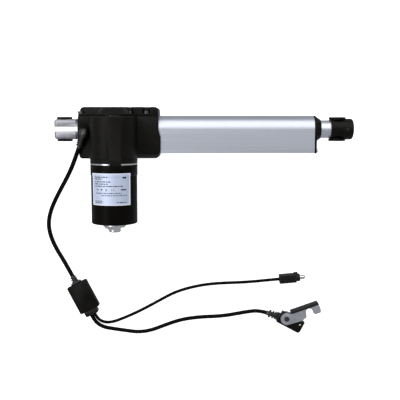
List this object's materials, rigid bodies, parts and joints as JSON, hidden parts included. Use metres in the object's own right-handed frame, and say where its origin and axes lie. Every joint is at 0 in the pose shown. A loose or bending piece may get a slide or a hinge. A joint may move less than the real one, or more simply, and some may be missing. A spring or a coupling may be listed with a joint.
{
  "type": "linear actuator",
  "caption": "Electric linear actuator: worm gear motor at right angles to an extruded tube, clevis at the rear, pinned rod head in front, and a moulded cable with a splitter box and two plugs.",
  "frame": {"origin": "centre of the rear pin bore, where it crosses the lead screw axis", "axes": "+X along the stroke towards the rod head; +Y along both pin bores, away from the motor; +Z towards the side with the motor tower"},
  "size_m": [0.3903, 0.2971, 0.0817],
  "materials": {
    "black_nylon": "satin",
    "black_cap_plastic": "satin",
    "die_cast_zinc": "satin",
    "bright_zinc": "satin",
    "anodised_aluminium": "satin anodised",
    "rod_tube_metal": "satin",
    "motor_paint": "satin",
    "label_foil": "satin foil",
    "machined_steel": "machined",
    "magnet_ferrite": "matte",
    "copper": "enamelled",
    "sintered_bronze": "matte",
    "carbon": "matte",
    "dark_insulator": "matte",
    "natural_acetal": "satin",
    "circuit_board": "satin",
    "glass_reed": "clear",
    "seal_rubber": "matte",
    "cable_jacket": "satin",
    "box_plastic": "satin",
    "grey_plates": "satin",
    "contact_metal": "plated"
  },
  "bodies": {
    "actuator_body": {"bearing_balls": "machined_steel", "bearing_outer_races": "machined_steel", "brush_holder": "dark_insulator", "brush_springs": "machined_steel", "cable_strain_relief": "seal_rubber", "carbon_brushes": "carbon", "cover_screws": "bright_zinc", "fork_cross_pin": "machined_steel", "front_cap": "black_cap_plastic", "gearbox_cover": "black_nylon", "gearbox_housing": "black_nylon", "latch_cable": "cable_jacket", "latch_pivot_rivet": "machined_steel", "latch_plug_body": "box_plastic", "latch_plug_boot": "seal_rubber", "latch_plug_contacts": "contact_metal", "limit_switch_board": "circuit_board", "limit_switches": "glass_reed", "main_cable": "cable_jacket", "motor_can": "motor_paint", "motor_end_bell": "bright_zinc", "motor_magnets": "magnet_ferrite", "motor_mount_plate": "bright_zinc", "motor_terminals": "dark_insulator", "nameplate": "label_foil", "outer_profile": "anodised_aluminium", "plug_body": "box_plastic", "plug_cable": "cable_jacket", "plug_contact": "contact_metal", "rear_fork": "die_cast_zinc", "rear_fork_bushes": "black_cap_plastic", "rear_motor_bush": "sintered_bronze", "rod_guide_bush": "natural_acetal", "rod_wiper_seal": "seal_rubber", "small_screws": "bright_zinc", "splitter_board": "circuit_board", "splitter_bottom_shell": "box_plastic", "splitter_inlet_boot": "seal_rubber", "splitter_outlet_collar": "box_plastic", "splitter_top_shell": "box_plastic"},
    "motor_rotor": {"motor_shaft": "machined_steel", "armature_core": "machined_steel", "armature_windings": "copper", "commutator": "copper", "worm": "machined_steel", "motor_bearing_inner_races": "machined_steel"},
    "spindle": {"lead_screw": "machined_steel", "worm_wheel": "natural_acetal", "wheel_key": "machined_steel", "retaining_nut": "machined_steel", "spindle_end_guide": "natural_acetal", "spindle_bearing_inner_races": "machined_steel"},
    "rod": {"drive_nut": "natural_acetal", "nut_magnet": "magnet_ferrite", "rod_cross_pins": "machined_steel", "push_tube": "rod_tube_metal", "rod_head": "black_cap_plastic", "rod_head_bushes": "black_cap_plastic"},
    "latch_lever": {"latch_lever_plates": "grey_plates", "latch_lever_grip": "box_plastic"}
  },
  "joints": [
    {"name": "motor_spin", "type": "hinge", "parent": "actuator_body", "child": "motor_rotor", "pos_m": [0.064, 0, 0.0255], "axis": [0, -1, 0], "range_deg": [0, 405000]},
    {"name": "spindle_spin", "type": "hinge", "parent": "actuator_body", "child": "spindle", "pos_m": [0, 0, 0], "axis": [-1, 0, 0], "range_deg": [0, 13500]},
    {"name": "rod_slide", "type": "slide", "parent": "actuator_body", "child": "rod", "axis": [1, 0, 0], "range_m": [0, 0.15]},
    {"name": "latch_turn", "type": "hinge", "parent": "actuator_body", "child": "latch_lever", "pos_m": [0.2827, -0.2479, -0.0197], "axis": [0, 0, 1], "range_deg": [-39.5, 0]}
  ],
  "couplings": [
    {"joint": "spindle_spin", "follows": "motor_spin", "ratio": 0.033333},
    {"joint": "rod_slide", "follows": "motor_spin", "m_per_rad": 0.000021221}
  ]
}
